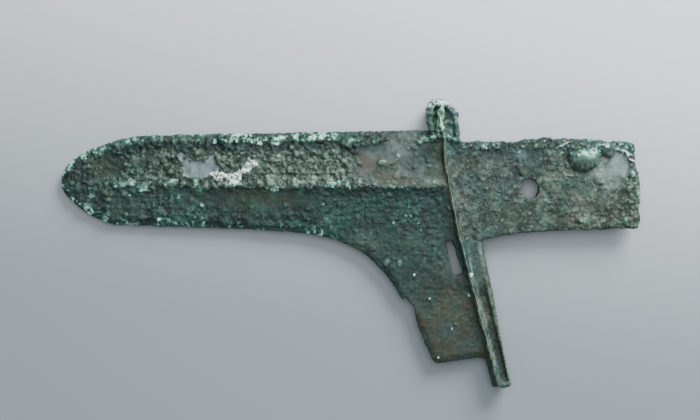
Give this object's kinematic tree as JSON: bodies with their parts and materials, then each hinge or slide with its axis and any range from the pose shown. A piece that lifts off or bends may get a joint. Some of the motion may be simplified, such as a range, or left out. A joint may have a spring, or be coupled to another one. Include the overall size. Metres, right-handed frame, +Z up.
{
  "type": "dagger-axe head",
  "caption": "Cast bronze dagger-axe head lying flat: ridged blade with a swept-down neck, a grooved rail with lugs at its ends, a flat tang with a tying hole, and thick green corrosion.",
  "frame": {"origin": "under the centre of the bounding box, on the surface that the casting lies on", "axes": "-X towards the blade's point, +X towards the tang, +Y towards the short upper lug, +Z up, out of the face that shows"},
  "size_m": [0.2242, 0.1112, 0.0109],
  "materials": {
    "bronze": "thick green and brown corrosion over cast bronze, rough and warty"
  },
  "bodies": {
    "root": {"dagger_axe_head": "bronze"}
  },
  "joints": []
}
